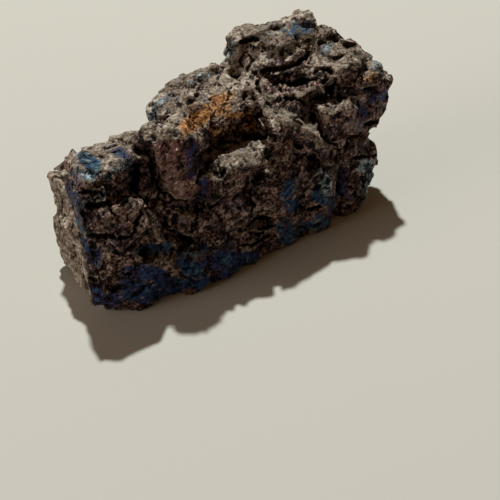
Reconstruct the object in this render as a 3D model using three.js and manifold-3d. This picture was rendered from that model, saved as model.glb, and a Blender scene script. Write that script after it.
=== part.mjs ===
// A hand specimen of peacock ore (bornite): one angular lump about 75 mm long, broken out of a vein.
// Millimetres, +Z up. The origin is under the middle of the lump, on the surface that it rests on.
// +X runs along the lump to its tall end, and -Y is the broad broken face.
//
// The lump is blocked out the way that the ore breaks: large masses give the bulk, and smaller
// angular fragments stand out of them as blocks, ledges and lips. Each fragment is a gridded box
// whose corners and edges are chipped off flat and whose faces are roughened. All are fused into
// one solid, hollows are broken out of it, and the foot is cut flat where the lump rests.

import * as THREE from "three";
import { ImprovedNoise } from "three/addons/math/ImprovedNoise.js";
import { mergeVertices } from "three/addons/utils/BufferGeometryUtils.js";
import Module from "manifold-3d";

const GRAIN = 3.4; // length of a face's grid step, so the smallest form that the solid shows
const COARSE_ROUGHNESS = { wavelength: 9, depth: 0.9 };
const FINE_ROUGHNESS = { wavelength: 3.4, depth: 0.75 };
const CORNER_CHIP = { chance: 1, least: 0.12, most: 0.34 }; // share of the reach to a corner
const EDGE_CHIP = { chance: 0.45, least: 0.05, most: 0.16 };
const CHIP_JITTER = 0.5; // how far a chip's direction strays from the corner's own
const NAME_SEED = { start: 7, step: 31 }; // spreads the names' letters over the random seeds
const SAME_POINT = 1e-3; // vertices closer than this are one

// Each row is a centre, a size along the fragment's own axes, and a turn about X, Y and Z in degrees.
// Centres are taken from a point near the middle of the foot. The whole lump is centred at the end.
const MASSES = {
  left_mass: [[-20.5, 2.5, 11.6], [25.9, 19, 25], [-12, 0, 0]],
  middle_mass: [[2, 0.5, 9.5], [34, 20, 28], [-10, 0, 0]],
  right_mass: [[20, 2.5, 14], [21, 17, 23], [-10, 0, 0]],
  rear_ridge: [[10, 8.5, 18.5], [35, 12, 26], [4, -8, 0]],
  upper_mass: [[7, 3.5, 23], [34, 9, 10], [0, -5, 0]],
  inner_mass: [[-3, 4, 12.5], [54, 12, 24], [0, 0, 0]],
};

const BLOCKS = {
  // the low left end
  end_block: [[-27, 0.3, 20.4], [12.4, 13.5, 19], [-8, 2, 3]],
  end_foot: [[-31.2, 4.5, 8.6], [9, 15, 16], [0, 0, -4]],
  back_block: [[-18.5, 4, 20.5], [13, 13, 12.6], [-4, 2, -6]],
  hanging_block: [[-28.8, -5.3, 21], [10.5, 8, 9.5], [-8, 4, -4]],
  lower_block: [[-28.8, -5, 9.3], [12.5, 11, 13], [-12, 3, -4]],
  toe: [[-21.5, -4.4, 4], [23, 14, 11], [-4, 0, -8]],
  tan_wedge: [[-19, -6.3, 14.5], [5, 5, 9], [-18, 0, 10]],
  // the glossy block and the lumps beside it
  glossy_block: [[-12.5, -2, 24.3], [10.5, 11, 16], [-10, 3, 2]],
  pale_ledge: [[-1, -5, 21], [11, 7, 8.4], [8, -8, 2]],
  small_lump: [[-7.3, -5.8, 19], [6.5, 6, 8], [-10, 10, 8]],
  rusty_lump: [[-3, 4.5, 27.6], [15, 12, 8], [32, -4, 0]],
  rusty_hump: [[3.5, 5, 30.2], [7, 7, 5], [20, 6, 12]],
  knob: [[-13.2, -7.8, 15], [5, 5, 5.5], [-5, 8, 10]],
  // the broad face
  round_block: [[-3.3, -7.5, 12], [9, 5, 8.5], [-12, 5, 0]],
  brown_block: [[5.2, -6.8, 16], [8, 6, 11], [-14, 4, 5]],
  teal_block: [[15.3, -6.6, 11.8], [9, 6, 10], [-10, 6, -6]],
  low_block: [[12.5, -5.5, 4.4], [13, 9, 6.5], [-10, 0, 8]],
  bottom_lump: [[-6.5, -8, 3.2], [14, 7, 7], [-6, 0, 2]],
  // the tall right end
  sloping_slab: [[13, -3.5, 22], [18, 9, 9], [-5, 32, 0]],
  round_lump: [[22.5, -2.5, 22.5], [11, 10, 10], [5, 8, 5]],
  foot_block: [[25.6, -1, 8.4], [13, 12, 16.6], [-8, 0, 4]],
  right_toe: [[23, -4.4, 3.2], [12, 8, 8], [-8, 0, 6]],
  shoulder_block: [[31, 1.5, 23.5], [10.5, 12, 14], [0, -4, 8]],
  brow_block: [[25, 1.5, 28.6], [10.5, 10, 8.5], [-4, -10, 6]],
  right_crest: [[30, 7, 26.6], [11, 10, 9], [4, 6, 0]],
  // ledges that climb to the peak
  low_ledge: [[14, 1, 27.6], [16, 6.5, 5], [10, -3, -6]],
  second_ledge: [[20, 4, 29.8], [13, 6, 5], [8, 4, -10]],
  middle_ledge: [[10, 5, 30.3], [14, 6, 5], [12, -8, 4]],
  high_ledge: [[17, 8, 32], [18, 6, 6], [10, -6, -4]],
  peak_block: [[21.5, 11.5, 33], [14, 8, 8], [8, -4, 0]],
  peak_shoulder: [[14, 12, 32.8], [10.5, 7, 8.4], [4, -6, 0]],
  peak_step: [[26.9, 10.4, 29.8], [8, 8, 8.6], [4, 10, 0]],
  back_slope: [[-0.5, 9.5, 27.4], [15, 10, 10], [6, -14, 0]],
  back_step: [[-6.6, 8, 26.6], [8.6, 10, 9], [0, -10, 0]],
  // the rear
  rear_boulder: [[-22, 9.5, 14], [17, 9, 13], [14, 10, 12]],
  rear_slab: [[-3, 11, 13], [19, 8, 17], [-6, -16, -6]],
  rear_lump: [[17, 12, 11], [20, 9, 13], [16, 8, 5]],
  rear_ledge: [[19, 13.5, 25], [19, 6, 8], [-12, -10, 4]],
  rear_corner: [[27, 8, 15], [11, 11, 11], [0, 20, 30]],
};

const HOLLOWS = {
  left_groove: [[-21.3, -5, 26], [3.2, 8, 13], [0, 4, 0]],
  under_hanging_block: [[-31.5, -9, 16], [9, 4.5, 2.8], [0, 6, 0]],
  wedge_crack: [[-22.3, -8, 19.5], [1.8, 5, 11], [0, 14, 0]],
  cavity: [[1.8, -2.8, 26.4], [16, 6, 3.6], [-6, 0, 4]],
  glossy_gap: [[-7.6, -6, 25.5], [2.4, 7, 7], [0, -25, 0]],
  knob_crack: [[-11.3, -8.5, 15.5], [1.3, 4, 6], [0, -4, 0]],
  lump_crack: [[-8.2, -8, 16.8], [6, 4, 1.4], [0, -16, 0]],
  round_crack: [[0.4, -9, 13.5], [1.3, 4, 7], [0, 4, 0]],
  long_hollow: [[2.5, -9.5, 8.5], [5, 5, 2.6], [0, 8, 0]],
  lower_crack: [[0, -10, 6], [7, 4, 1.4], [0, -10, 0]],
  right_slit: [[12.5, -9.5, 7.8], [4.5, 4, 1.5], [0, 0, 0]],
  wedge_hollow: [[-14, -9, 11], [3.2, 4.5, 5], [0, 12, 0]],
  knob_hollow: [[-16.6, -8.5, 13.5], [3.2, 4, 3], [0, 0, 0]],
  slab_hollow: [[14.8, -7, 17.6], [3.2, 5, 3.4], [0, 20, 0]],
  brow_hollow: [[22.6, -1, 30.5], [3, 5, 5], [0, 0, 0]],
  shoulder_crack: [[32, -4.5, 20], [8, 4, 1], [0, -4, 0]],
  under_ledges: [[14, 2.2, 30.6], [12, 3, 1.6], [10, -4, 0]],
  under_peak: [[10, 8.5, 34], [6, 4, 4], [0, 0, 0]],
  // flakes lost from the rear edge of the foot and from the ends
  rear_left_flake: [[-20, 15.5, 1], [40, 9, 11], [42, 0, 6]],
  rear_right_flake: [[18, 15, 0], [42, 9, 12], [50, 4, -8]],
  right_flake: [[34, 2, 0], [9, 40, 9], [0, 40, 0]],
  left_flake: [[-37, 2, -1], [6, 40, 9], [0, -35, 0]],
  // shallow chips out of the underside, which leave a flat spot under the middle
  left_sole_chip: [[-21.5, 0.5, -0.5], [11, 8, 3.2], [4, 4, 16]],
  right_sole_chip: [[16, 2, -0.5], [13, 8.5, 3.2], [-4, -4, -10]],
};

const BED = { height: 60, reach: 200 }; // the slab below the resting plane that cuts the foot flat

const noise = new ImprovedNoise();
const NOISE_REACH = 0.5; // the noise seldom leaves this range on either side of zero
const NOISE_SHIFT = new THREE.Vector3(11.3, 23.7, 37.1); // keeps the three directions unalike

// A repeatable stream of numbers from 0 to 1 for each fragment, started by its name.
function randomStream(name) {
  let seed = [...name].reduce(
    (sum, letter) => Math.imul(sum, NAME_SEED.step) + letter.charCodeAt(0),
    NAME_SEED.start,
  );
  return () => {
    const value = THREE.MathUtils.seededRandom(seed);
    seed = undefined; // only the first call starts the stream
    return value;
  };
}

// Planes that chip the corners and edges of a box with half sizes `half`.
function chipPlanes(half, random) {
  const planes = [];
  const signs = [-1, 0, 1];
  for (const i of signs)
    for (const j of signs)
      for (const k of signs) {
        const cut = Math.abs(i) + Math.abs(j) + Math.abs(k);
        if (cut < 2) continue;
        const chip = cut === 3 ? CORNER_CHIP : EDGE_CHIP;
        const corner = new THREE.Vector3(i * half.x, j * half.y, k * half.z);
        const normal = new THREE.Vector3(i / half.x, j / half.y, k / half.z).normalize();
        const jitter = new THREE.Vector3(random() - 0.5, random() - 0.5, random() - 0.5);
        normal.addScaledVector(jitter, CHIP_JITTER).normalize();
        const share = chip.least + (chip.most - chip.least) * random();
        if (random() > chip.chance) continue;
        planes.push({ normal, distance: normal.dot(corner) * (1 - share) });
      }
  return planes;
}

// A smooth field of offsets, the same for every vertex at the same place.
function roughOffset(p, { wavelength, depth }) {
  const [x, y, z] = p.toArray().map((value) => value / wavelength);
  return new THREE.Vector3(
    noise.noise(x + NOISE_SHIFT.x, y, z),
    noise.noise(x, y + NOISE_SHIFT.y, z),
    noise.noise(x, y, z + NOISE_SHIFT.z),
  ).multiplyScalar(depth / NOISE_REACH);
}

function fragmentGeometry(name, [centre, size, turn]) {
  const half = new THREE.Vector3(...size).multiplyScalar(0.5);
  const steps = size.map((s) => Math.max(2, Math.round(s / GRAIN)));
  const geometry = new THREE.BoxGeometry(...size, ...steps);
  const planes = chipPlanes(half, randomStream(name));
  const place = new THREE.Matrix4().compose(
    new THREE.Vector3(...centre),
    new THREE.Quaternion().setFromEuler(new THREE.Euler(...turn.map(THREE.MathUtils.degToRad))),
    new THREE.Vector3(1, 1, 1),
  );
  const position = geometry.attributes.position;
  const p = new THREE.Vector3();
  for (let i = 0; i < position.count; i++) {
    p.fromBufferAttribute(position, i);
    for (const { normal, distance } of planes) {
      const over = normal.dot(p) - distance;
      if (over > 0) p.addScaledVector(normal, -over);
    }
    p.applyMatrix4(place);
    const coarse = roughOffset(p, COARSE_ROUGHNESS);
    const fine = roughOffset(p, FINE_ROUGHNESS);
    p.add(coarse).add(fine);
    position.setXYZ(i, p.x, p.y, p.z);
  }
  return geometry;
}

const wasm = await Module();
wasm.setup();

function solidOf(geometry) {
  geometry.deleteAttribute("normal");
  geometry.deleteAttribute("uv");
  const merged = mergeVertices(geometry, SAME_POINT);
  return new wasm.Manifold(
    new wasm.Mesh({
      numProp: 3,
      vertProperties: merged.attributes.position.array,
      triVerts: new Uint32Array(merged.index.array),
    }),
  );
}

function geometryOf(solid) {
  const mesh = solid.getMesh();
  return new THREE.BufferGeometry()
    .setAttribute("position", new THREE.BufferAttribute(mesh.vertProperties, 3))
    .setIndex(new THREE.BufferAttribute(mesh.triVerts, 1));
}

function fragmentSolids(rows) {
  return Object.entries(rows).map(([name, row]) => solidOf(fragmentGeometry(name, row)));
}

function lumpSolid() {
  const fused = fragmentSolids({ ...MASSES, ...BLOCKS }).reduce((whole, part) => whole.add(part));
  const hollowed = fragmentSolids(HOLLOWS).reduce((whole, part) => whole.subtract(part), fused);
  const bed = new THREE.BoxGeometry(BED.reach, BED.reach, BED.height);
  bed.translate(0, 0, -BED.height / 2);
  return hollowed.subtract(solidOf(bed));
}

const ore = new THREE.MeshStandardMaterial({ color: 0x5b4636, roughness: 0.55, metalness: 0.4 });
const lump = new THREE.Mesh(geometryOf(lumpSolid()), ore);
lump.name = "ore_lump";
lump.geometry.computeBoundingBox();
const middle = lump.geometry.boundingBox.getCenter(new THREE.Vector3());
lump.geometry.translate(-middle.x, -middle.y, 0);
lump.geometry.computeVertexNormals();

const specimen = new THREE.Group();
specimen.add(lump);

export default specimen;
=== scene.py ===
# %% [markdown]
# # A lump of peacock ore
#
# Peacock ore is bornite, a copper iron sulphide. Freshly broken it is bronze-brown, and air soon
# covers it with a thin oxide film whose colours, blue and violet above all, come from its thickness.
# This lesson takes a coarse faceted solid of one broken lump, packs its skin with the angular
# fragments that ore breaks into, and then gives it one material with several finishes on it.
#
# The solid arrives as a fixed frame. Everything that is made here stays in that frame, in metres.

# %% Load the frame
import math
from itertools import product

import bmesh
import bpy
import numpy as np
from mathutils import Euler, Matrix, Vector, noise
from mathutils.bvhtree import BVHTree


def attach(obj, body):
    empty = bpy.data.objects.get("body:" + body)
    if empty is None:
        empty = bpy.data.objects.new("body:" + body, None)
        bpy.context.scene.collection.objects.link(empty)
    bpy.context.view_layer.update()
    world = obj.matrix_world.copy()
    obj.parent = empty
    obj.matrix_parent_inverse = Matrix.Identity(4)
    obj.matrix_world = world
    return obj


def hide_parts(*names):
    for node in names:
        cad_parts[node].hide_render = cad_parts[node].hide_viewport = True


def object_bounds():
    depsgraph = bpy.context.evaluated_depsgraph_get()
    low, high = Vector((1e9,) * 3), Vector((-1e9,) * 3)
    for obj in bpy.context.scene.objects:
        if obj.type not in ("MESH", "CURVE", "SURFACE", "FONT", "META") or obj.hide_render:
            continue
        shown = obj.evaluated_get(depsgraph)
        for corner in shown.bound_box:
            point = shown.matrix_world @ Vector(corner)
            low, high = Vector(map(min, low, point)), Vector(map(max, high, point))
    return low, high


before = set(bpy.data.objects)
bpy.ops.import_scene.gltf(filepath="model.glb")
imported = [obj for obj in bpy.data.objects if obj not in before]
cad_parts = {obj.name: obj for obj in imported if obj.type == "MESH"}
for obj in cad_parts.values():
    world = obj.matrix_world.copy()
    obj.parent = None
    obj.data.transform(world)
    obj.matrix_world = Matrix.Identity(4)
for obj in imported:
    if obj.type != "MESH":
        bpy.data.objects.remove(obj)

MM = 0.001
solid_low, solid_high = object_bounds()
print("solid, mm:", [round(side / MM, 1) for side in solid_high - solid_low])

# %% [markdown]
# ## The camera
#
# The camera looks down on the broad broken face from the left. It is placed first, because the
# stones, cracks and colour patches that can be told apart by eye are laid out in its picture: a
# place there is a point of a 500 by 500 frame, and a ray from the camera carries it onto the lump.

# %% Place the camera
PICTURE = 500  # steps wide and high
CAMERA_AT = Vector((-76.8, -154.6, 145.3)) * MM
CAMERA_DOWN, CAMERA_TURN, CAMERA_ROLL = 41.56, -27.82, 2.67  # degrees
SENSOR = 36.0  # mm wide
LENS = 75.75  # mm


def in_scene(name, data):
    """A new object in the scene that holds this camera, mesh or lamp."""
    made = bpy.data.objects.new(name, data)
    bpy.context.scene.collection.objects.link(made)
    return made


camera = in_scene("camera", bpy.data.cameras.new("camera"))
camera.data.sensor_width = SENSOR
camera.data.lens = LENS
camera.data.clip_start = 0.01
camera.location = CAMERA_AT
aim = Euler((math.radians(90 - CAMERA_DOWN), 0, math.radians(CAMERA_TURN)), "XYZ").to_matrix()
roll = Euler((0, 0, math.radians(-CAMERA_ROLL)), "XYZ").to_matrix()
camera.rotation_euler = (aim @ roll).to_euler()
bpy.context.scene.camera = camera
print("camera is", round(CAMERA_AT.length / MM), "mm from the foot of the lump")

# %% [markdown]
# ## An even skin to work on
#
# The solid's faces are long slivers and large flats. A sculptor would remesh such a form before
# working on it, and that is done here: a copy has its doubled corners merged and is rebuilt by the
# voxel remesher as even squares. The work is done in millimetres, so that sizes read as real ones.

# %% Copy the solid and even out its faces
DOUBLED = 0.001  # mm, corners nearer to each other than this are one
SKIN_GRID = 0.5  # mm


def evened(mesh, grid):
    """The mesh rebuilt as even squares, `grid` mm wide."""
    holder = in_scene("holder", mesh)
    remesh = holder.modifiers.new("even squares", "REMESH")
    remesh.mode = "VOXEL"
    remesh.voxel_size = grid
    depsgraph = bpy.context.evaluated_depsgraph_get()
    made = bpy.data.meshes.new_from_object(holder.evaluated_get(depsgraph))
    bpy.data.objects.remove(holder)
    return made


copy = bmesh.new()
copy.from_mesh(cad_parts["ore_lump"].data)
bmesh.ops.remove_doubles(copy, verts=copy.verts, dist=DOUBLED * MM)
bmesh.ops.scale(copy, vec=(1 / MM, 1 / MM, 1 / MM), verts=copy.verts)
coarse = bpy.data.meshes.new("coarse lump")
copy.to_mesh(coarse)
solid_tree = BVHTree.FromBMesh(copy)
copy.free()
lump = evened(coarse, SKIN_GRID)
print("skin:", len(lump.vertices), "points")

# %% [markdown]
# ## Hands for the skin
#
# Sculpting by hand would take days, so the skin is moved by rules. These helpers read every point of
# the skin at once, tell which way it faces, average a value with its neighbours', and push it.

# %% Read and move the skin
BROAD = 20  # rounds of averaging that leave only the way a whole face looks
CLOSE = 6  # rounds that still leave the way a single ledge looks


def corners(mesh):
    """The mesh's points, one row each."""
    rows = np.empty(len(mesh.vertices) * 3)
    mesh.vertices.foreach_get("co", rows)
    return rows.reshape(-1, 3)


def softened(mesh, values, rounds):
    """The values averaged with their neighbours' again and again, so that only broad changes stay."""
    edges = np.empty(len(mesh.edges) * 2, int)
    mesh.edges.foreach_get("vertices", edges)
    a, b = edges.reshape(-1, 2).T
    count = np.bincount(a, minlength=len(values)) + np.bincount(b, minlength=len(values)) + 1.0
    values = values.reshape(len(count), -1)
    for _ in range(rounds):
        total = values.copy()
        for column in range(values.shape[1]):
            total[:, column] += np.bincount(a, values[b, column], len(count))
            total[:, column] += np.bincount(b, values[a, column], len(count))
        values = total / count[:, None]
    return values


def outward(mesh, rounds=0):
    """The direction that faces out of the mesh at each point, evened out over some rounds."""
    rows = np.empty(len(mesh.vertices) * 3)
    mesh.vertices.foreach_get("normal", rows)
    rows = softened(mesh, rows.reshape(-1, 3), rounds)
    return rows / np.linalg.norm(rows, axis=1)[:, None]


def move_to(mesh, rows):
    """Puts the mesh's points where the rows say."""
    mesh.vertices.foreach_set("co", rows.ravel())
    mesh.update()


def carve(mesh, rise, rounds):
    """Moves the skin out by `rise` mm, along directions that are evened out over some rounds."""
    move_to(mesh, corners(mesh) + outward(mesh, rounds) * rise[:, None])


# %% [markdown]
# ## Noise
#
# Two kinds of noise do all the random forms. Smooth noise gives soft swells. Cells give chips,
# because each cell can be tipped as one flat piece, and they tell which grain a point belongs to.

# %% Noise over the skin
def ramp(values, low, high):
    """0 below low, 1 above high, and a smooth rise between them."""
    t = np.clip((values - low) / (high - low), 0, 1)
    return t * t * (3 - 2 * t)


def smooth_noise(points, size, seed):
    """Noise from -1 to 1 whose lumps are about `size` mm across."""
    shift = Vector((seed * 17.3, seed * 5.1, seed * 9.7))
    return np.array([noise.noise(Vector(p) + shift) for p in points / size])


def grain_centres(points, size, seed):
    """The centre of the grain, about `size` mm across, that each point belongs to."""
    shift = Vector((seed * 13.1, seed * 7.9, seed * 3.7))
    return size * np.array([noise.voronoi(Vector(p) + shift)[1][0] - shift for p in points / size])


def tipped_cells(points, size, seed):
    """Chips about `size` mm across, each a flat piece tipped its own way: the rise from -1 to 1."""
    centre = grain_centres(points, size, seed)
    toss = np.array([noise.cell_vector(spot) for spot in centre / size * 3]) * 2 - 1
    return ((points - centre) / size * toss).sum(axis=1)


# %% [markdown]
# ## Places in the camera's picture
#
# Stones, cracks and patches that can be told apart by eye are drawn as short paths in the camera's
# picture. A path acts only on skin that faces the camera, and its width and depth are real sizes. The
# rest of the lump gets the same things from noise.

# %% Find every point in the picture
PIXEL = 0.2  # mm on the lump that one step of the picture covers
SPREAD = LENS / SENSOR * PICTURE
SEEN_FACES = (-0.05, 0.25)  # how squarely skin looks at the camera when it is just seen, and seen well
IN_VIEW = 0.5  # skin that is seen better than this counts as in view
into_camera = camera.matrix_basis.inverted()


def in_picture(points):
    """Where the camera's picture shows each point."""
    seen = points @ np.array(into_camera.to_3x3()).T + np.array(into_camera.translation) / MM
    return PICTURE / 2 + SPREAD * seen[:, :2] / -seen[:, 2:] * (1, -1)


def faces_camera(points, out):
    """0 for skin turned away from the camera, and 1 for skin that it sees well."""
    sight = np.array(CAMERA_AT) / MM - points
    sight /= np.linalg.norm(sight, axis=1)[:, None]
    return ramp((sight * out).sum(axis=1), *SEEN_FACES)


def from_path(spots, path):
    """How far picture places lie from a path, in mm on the lump, and how far along it, from 0 to 1."""
    steps = [np.linalg.norm(np.subtract(end, start)) for start, end in zip(path[:-1], path[1:])]
    nearest, along_path, passed = np.full(len(spots), np.inf), np.zeros(len(spots)), 0
    for start, end, step in zip(path[:-1], path[1:], steps):
        start, along = np.array(start, float), np.subtract(end, start)
        share = np.clip((spots - start) @ along / step ** 2, 0, 1)
        away = np.linalg.norm(spots - start - share[:, None] * along, axis=1) * PIXEL
        along_path = np.where(away < nearest, (passed + share * step) / sum(steps), along_path)
        nearest, passed = np.minimum(nearest, away), passed + step
    return nearest, along_path


def on_path(spots, path, width, core, taper=0):
    """1 for picture places within `core` of the path's half width in mm, falling to 0 at the half
    width. The taper is how much narrower the path is at its ends."""
    nearest, along_path = from_path(spots, path)
    return 1 - ramp(nearest / width / (1 - taper * (2 * along_path - 1) ** 2), core, 1)


# %% [markdown]
# ## Clean breaks
#
# A few stretches of the lump broke clean and stay whole: the pale left end, the glossy block of
# massive bornite, and some smaller facets. Everywhere else the skin goes in a little, to make room
# for the fragments that are packed onto it next.

# %% Make room for the fragments
CLEAN = {  # half width in mm, and the path in the picture
    "glossy block": (4.4, [(172, 158), (184, 184)]),
    "three-cornered lump": (1.8, [(209, 181), (209, 195)]),
    "tan facet": (1.7, [(152, 220), (158, 238)]),
    "right foot": (2.2, [(366, 164), (366, 188)]),
    "round lump": (2.4, [(330, 112), (352, 125)]),
    "slab": (1.6, [(280, 120), (310, 137), (330, 152)]),
    "left front edge": (1.4, [(64, 182), (74, 210), (82, 242), (90, 275)]),
    "left lobe's top": (1.6, [(76, 158), (96, 164), (112, 160)]),
}
CLEAN_CORE = 0.75  # the share of a clean break's half width that is wholly clean
END_FACES = (0.40, 0.60)  # how squarely skin looks to -X where the left end begins, and where it is full
END_STARTS = -24  # mm, the left end's skin lies beyond this
END_EDGE = [(54, 157), (61, 179), (70, 201), (75, 218), (80, 239), (82, 257), (88, 279), (93, 300)]
END_FADES = 2  # steps of the picture, over which the left end fades out on each side of its edge
FOOT = 1.5  # mm, the skin below this is the foot, and has lost its loose fragments
INSET = 0.75  # mm that the rest of the skin goes in


def end_share(points, out, spots, seen):
    """1 on the left end. Its near edge is drawn in the picture, and its others follow from the form."""
    edge_x, edge_y = np.array(END_EDGE, float).T
    beside = np.interp(spots[:, 1], edge_y, edge_x) - spots[:, 0]
    drawn, by_form = ramp(beside, -END_FADES, END_FADES), ramp(-out[:, 0], *END_FACES)
    return np.where(seen > IN_VIEW, drawn, by_form) * (points[:, 0] < END_STARTS)


def with_breaks(clean, spots, seen):
    """How clean the skin broke, once the clean breaks that are drawn in the picture are added."""
    for width, path in CLEAN.values():
        clean = np.maximum(clean, seen * on_path(spots, path, width, CLEAN_CORE))
    return clean


points, out = corners(lump), outward(lump, BROAD)
spots = in_picture(points)
seen = faces_camera(points, out)
clean = end_share(points, out, spots, seen)
clean = with_breaks(np.maximum(clean, 1 - ramp(points[:, 2], FOOT, 2 * FOOT)), spots, seen)
carve(lump, -INSET * (1 - clean), rounds=12)
print("broke clean:", round(100 * float(clean.mean())), "% of the skin")

# %% [markdown]
# ## Ledges and knobs that show by name
#
# The ledges and knobs that give the lump its face are laid out here, each as one stone that lies
# between two places in the picture. They are set on the skin later, after the scattered fragments.

# %% Lay out the stones
STONES = {  # width, thickness and how proud in mm, and its two ends in the picture
    "left shelf": (3.2, 2.2, 0.9, (68, 173), (99, 173)),
    "shelf's corner": (3.0, 2.2, 0.8, (105, 171), (128, 159)),
    "second shelf": (2.4, 1.4, 1.1, (82, 199), (107, 195)),
    "brown block": (4.6, 3.0, -0.4, (87, 214), (105, 215)),
    "block's toe": (3.0, 2.4, -0.5, (102, 226), (124, 228)),
    "upper brown lump": (2.6, 2.4, -0.5, (112, 199), (121, 196)),
    "lower brown lump": (2.6, 2.4, -0.5, (123, 214), (135, 212)),
    "high ledge": (3.4, 1.6, 1.3, (256, 64), (303, 48)),
    "middle ledge": (3.2, 1.6, 1.3, (268, 75), (328, 60)),
    "low ledge": (2.8, 1.6, 1.0, (292, 93), (330, 83)),
    "brow": (3.8, 2.2, 1.2, (332, 72), (364, 63)),
    "brow's front": (4.6, 2.4, 0.5, (338, 88), (358, 86)),
    "far knob": (2.6, 2.4, 1.0, (366, 79), (377, 78)),
    "light lip": (1.8, 1.8, 0.9, (238, 92), (249, 77)),
    "slab's head": (2.8, 2.0, 1.0, (264, 119), (298, 117)),
    "slab's tail": (2.4, 2.0, 0.9, (304, 125), (336, 150)),
    "stack": (3.4, 2.8, 0.8, (344, 147), (362, 147)),
    "pale ledge's edge": (3.0, 2.4, 1.6, (218, 166), (260, 161)),
    "under the stack": (2.8, 2.4, 0.9, (331, 153), (346, 159)),
    "three-cornered lump": (3.6, 3.0, 0.9, (202, 190), (222, 188)),
    "crest's left": (2.8, 2.0, 0.4, (242, 36), (262, 33)),
    "crest's middle": (3.2, 2.4, 0.4, (264, 33), (290, 28)),
    "peak": (3.6, 2.8, -0.2, (287, 31), (308, 26)),
    "peak's shoulder": (3.0, 2.6, 1.0, (270, 27), (294, 23)),
    "crest's right": (2.8, 2.0, 0.4, (320, 32), (340, 44)),
    "crest's end": (2.8, 2.0, 0.4, (346, 48), (370, 56)),
    "slope's left": (3.8, 4.0, 0.2, (242, 52), (243, 74)),
    "beside the groove": (3.6, 4.0, 2.6, (144, 152), (147, 194)),
    "crest's foot": (4.0, 3.0, 0.6, (236, 64), (219, 73)),
    "slope's middle": (4.6, 4.0, 0.5, (253, 50), (256, 72)),
    "slope's right": (4.0, 3.0, 0.2, (266, 50), (272, 64)),
    "light step": (2.6, 1.8, 1.0, (301, 47), (326, 33)),
    "light spot": (3.6, 3.0, 0.9, (323, 52), (342, 55)),
    "blue step": (3.2, 2.8, 0.8, (288, 35), (313, 32)),
    "upper step": (3.6, 2.6, 1.0, (266, 47), (291, 39)),
}
print("named stones:", len(STONES))

# %% [markdown]
# ## Cracks and hollows that show by name
#
# The dark gaps between the stones are drawn as paths too. The deepest are the cavity above the pale
# ledge and the gaps under the top's ledges, where blocks of ore fell out.

# %% Lay out the cracks
CRACKS = {  # half width and depth in mm, then the path in the picture
    "left groove": (0.7, 1.1, [(134, 164), (135, 178), (132, 190)]),
    "long crack": (0.6, 1.6, [(147, 194), (144, 206), (140, 216), (134, 231)]),
    "between the brown lumps": (0.45, 1.1, [(112, 208), (119, 207), (128, 200), (131, 190)]),
    "left of the brown lumps": (0.45, 1.1, [(109, 192), (110, 208), (117, 218)]),
    "under the left shelf": (0.45, 1.2, [(80, 192), (90, 193), (101, 192)]),
    "under the second shelf": (0.7, 1.5, [(84, 206), (98, 206), (108, 203)]),
    "under the brown block": (1.1, 1.6, [(88, 235), (99, 238), (112, 237)]),
    "under the toe": (0.5, 1.2, [(112, 238), (128, 238), (134, 231)]),
    "right of the glossy block": (0.9, 2.4, [(209, 157), (208, 165), (202, 172), (197, 184)]),
    "left of the glossy block": (0.5, 1.2, [(148, 150), (151, 168), (158, 190), (172, 199), (186, 203)]),
    "right of the three-cornered lump": (0.4, 1.2, [(211, 168), (220, 178), (225, 187)]),
    "below the three-cornered lump": (0.5, 1.5, [(198, 204), (206, 207), (218, 204), (222, 198)]),
    "upright crack": (0.5, 1.3, [(197, 207), (198, 226)]),
    "its branch": (0.35, 0.9, [(199, 214), (213, 210), (220, 219), (228, 226)]),
    "short crevice": (0.7, 1.6, [(161, 223), (169, 227), (177, 232)]),
    "black hole": (0.8, 2.2, [(194, 230), (189, 238), (188, 246)]),
    "middle crack": (0.45, 1.2, [(249, 191), (252, 204), (252, 220), (245, 230)]),
    "upper pit": (0.8, 1.6, [(256, 179), (258, 177)]),
    "lower pit": (0.7, 1.6, [(238, 208), (240, 207)]),
    "black slot": (0.9, 2.2, [(258, 229), (266, 227), (273, 226)]),
    "low crevice": (0.6, 1.4, [(240, 246), (254, 243), (270, 236)]),
    "right crevice": (0.6, 1.6, [(306, 210), (322, 207)]),
    "under the slab": (0.5, 1.2, [(296, 160), (306, 154), (314, 162)]),
    "red hollow": (0.9, 1.4, [(293, 144), (303, 147)]),
    "cavity's thin end": (0.4, 1.8, [(221, 142), (241, 141)]),
    "cavity": (0.95, 2.6, [(243, 138), (256, 135), (266, 135), (275, 137)]),
    "beside the round lump": (0.8, 2.0, [(313, 114), (314, 124)]),
    "below the round lump": (0.6, 1.8, [(318, 129), (326, 138), (340, 150)]),
    "stack's crack": (0.5, 1.8, [(352, 158), (366, 157), (377, 154)]),
    "foot's crack": (0.45, 1.3, [(339, 172), (337, 190), (343, 198)]),
    "shoulder seam": (0.6, 1.4, [(364, 126), (370, 122), (390, 122)]),
    "brow hollow": (1.1, 2.4, [(329, 69), (326, 76), (322, 82)]),
    "slope's own crack": (0.4, 0.9, [(246, 50), (252, 60), (247, 70)]),
    "under the brow's front": (0.8, 1.8, [(338, 94), (341, 102)]),
    "under the high ledge": (1.15, 2.4, [(262, 70), (284, 68), (298, 64), (307, 55)]),
    "under the middle ledge": (1.0, 2.2, [(275, 82), (296, 83), (318, 78)]),
    "under the low ledge": (0.9, 2.0, [(285, 97), (293, 98), (303, 102)]),
    "low ledge's crack": (0.35, 1.0, [(311, 100), (318, 98), (329, 97)]),
    "rust hollow": (0.7, 1.3, [(187, 104), (192, 99), (199, 93)]),
    "crest hollow": (1.0, 1.4, [(241, 42), (250, 38), (259, 39)]),
    "slope hollow": (0.7, 2.2, [(253, 96), (254, 101)]),
    "slope's edge": (0.5, 1.4, [(258, 80), (260, 95)]),
    "left foot crack": (0.5, 1.2, [(88, 278), (97, 279)]),
    "low pit": (0.6, 1.3, [(127, 273), (132, 274)]),
    "blue pit": (0.7, 1.2, [(139, 254), (148, 250)]),
}
print("named cracks:", len(CRACKS))

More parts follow.
